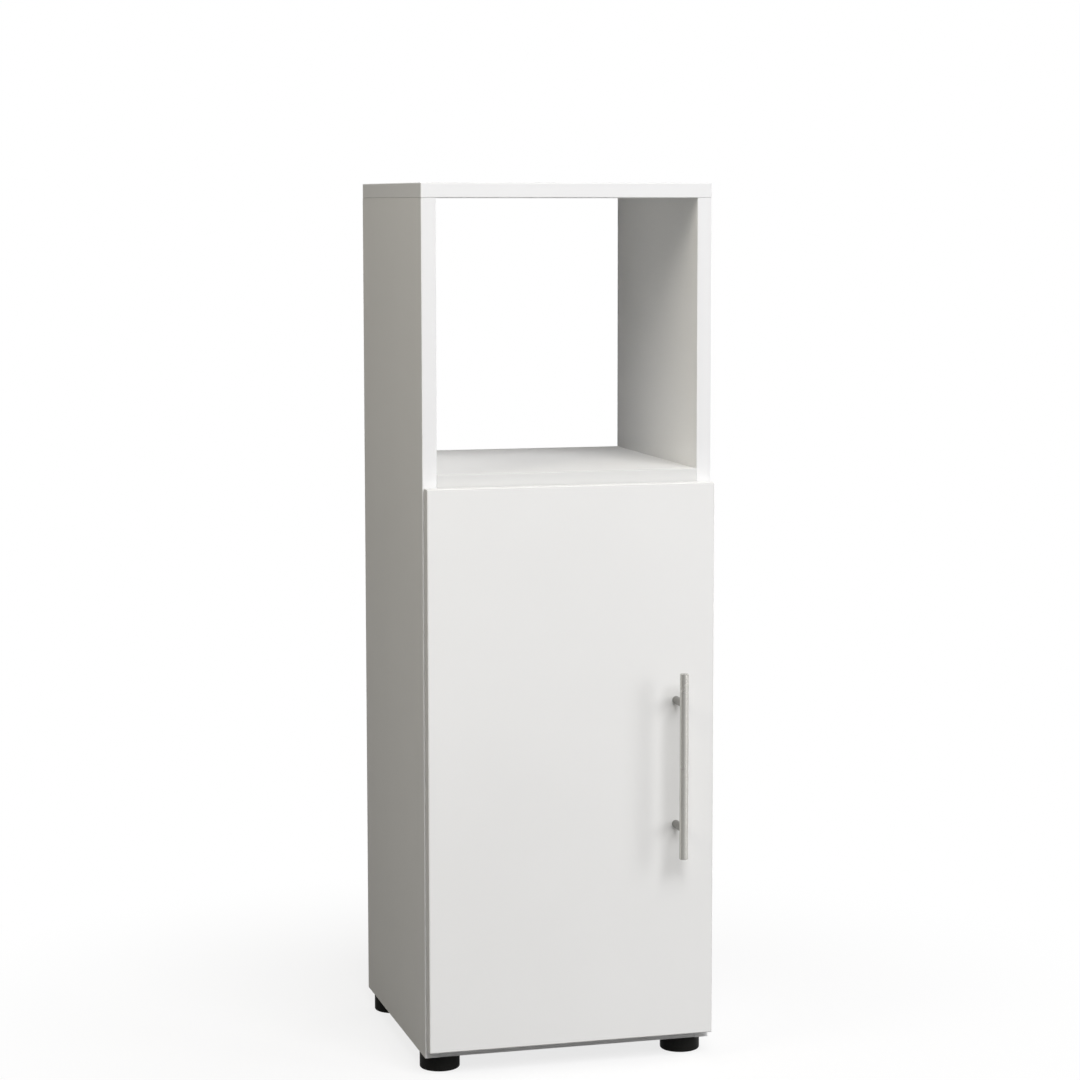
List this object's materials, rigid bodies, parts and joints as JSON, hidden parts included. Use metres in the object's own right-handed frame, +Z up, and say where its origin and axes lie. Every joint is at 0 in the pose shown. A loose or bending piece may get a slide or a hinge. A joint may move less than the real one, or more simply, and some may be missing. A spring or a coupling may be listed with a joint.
{
  "type": "storage cabinet",
  "caption": "Tall narrow bathroom storage cabinet with an open compartment above a closed one, whose door swings on concealed hinges.",
  "frame": {"origin": "middle of the footprint at floor level, under the middle of the overall depth with the handle", "axes": "+Z up; the front with the door faces -Y; +X is to the right as seen from the front"},
  "size_m": [0.3, 0.3325, 0.898],
  "materials": {
    "white_board": "smooth white melamine on particle board",
    "back_board": "white lacquered hardboard",
    "beech": "raw beech",
    "black_plastic": "moulded black plastic",
    "clear_pad": "soft clear bumper",
    "brushed_nickel": "brushed nickel plate",
    "hinge_steel": "nickel-plated pressed steel",
    "zinc_steel": "bright zinc plate"
  },
  "bodies": {
    "carcass": {"top_panel": "white_board", "left_side": "white_board", "right_side": "white_board", "bottom_panel": "white_board", "divider_shelf": "white_board", "back_panel": "back_board", "loose_shelf": "white_board", "shelf_pins": "zinc_steel", "top_dowels": "beech", "divider_dowels": "beech", "bottom_dowels": "beech", "divider_cam_locks": "zinc_steel", "bottom_cam_locks": "zinc_steel", "divider_cam_bolts": "zinc_steel", "bottom_cam_bolts": "zinc_steel", "foot_front_left": "black_plastic", "foot_front_right": "black_plastic", "foot_rear_left": "black_plastic", "foot_rear_right": "black_plastic", "foot_screws": "zinc_steel", "hinge_arm_upper": "hinge_steel", "hinge_arm_lower": "hinge_steel", "hinge_arm_pins": "zinc_steel", "hinge_plate_upper": "hinge_steel", "hinge_plate_lower": "hinge_steel", "hinge_plate_screws": "zinc_steel", "hinge_arm_screws": "zinc_steel"},
    "outer_links": {"hinge_outer_link_upper": "hinge_steel", "hinge_outer_link_lower": "hinge_steel"},
    "door": {"door": "white_board", "door_bumpers": "clear_pad", "handle_bar": "brushed_nickel", "handle_post_upper": "brushed_nickel", "handle_post_lower": "brushed_nickel", "handle_screws": "zinc_steel", "hinge_cup_upper": "hinge_steel", "hinge_cup_lower": "hinge_steel", "hinge_cup_screws": "zinc_steel", "hinge_cup_pins": "zinc_steel"},
    "inner_links": {"hinge_inner_link_upper": "hinge_steel", "hinge_inner_link_lower": "hinge_steel"}
  },
  "joints": [
    {"name": "outer_link_swing", "type": "hinge", "parent": "carcass", "child": "outer_links", "pos_m": [-0.125, -0.10975, 0.312], "axis": [0, 0, 1], "range_deg": [0, 28.8]},
    {"name": "door_swing", "type": "hinge", "parent": "outer_links", "child": "door", "pos_m": [-0.1415, -0.12225, 0.312], "axis": [0, 0, -1], "range_deg": [0, 123.54]},
    {"name": "inner_link_swing", "type": "hinge", "parent": "carcass", "child": "inner_links", "pos_m": [-0.1175, -0.12475, 0.312], "axis": [0, 0, 1], "range_deg": [0, 33.7]}
  ],
  "couplings": [
    {"joint": "outer_link_swing", "follows": "door_swing", "ratio": 0.23102},
    {"joint": "inner_link_swing", "follows": "door_swing", "ratio": 0.27069}
  ]
}
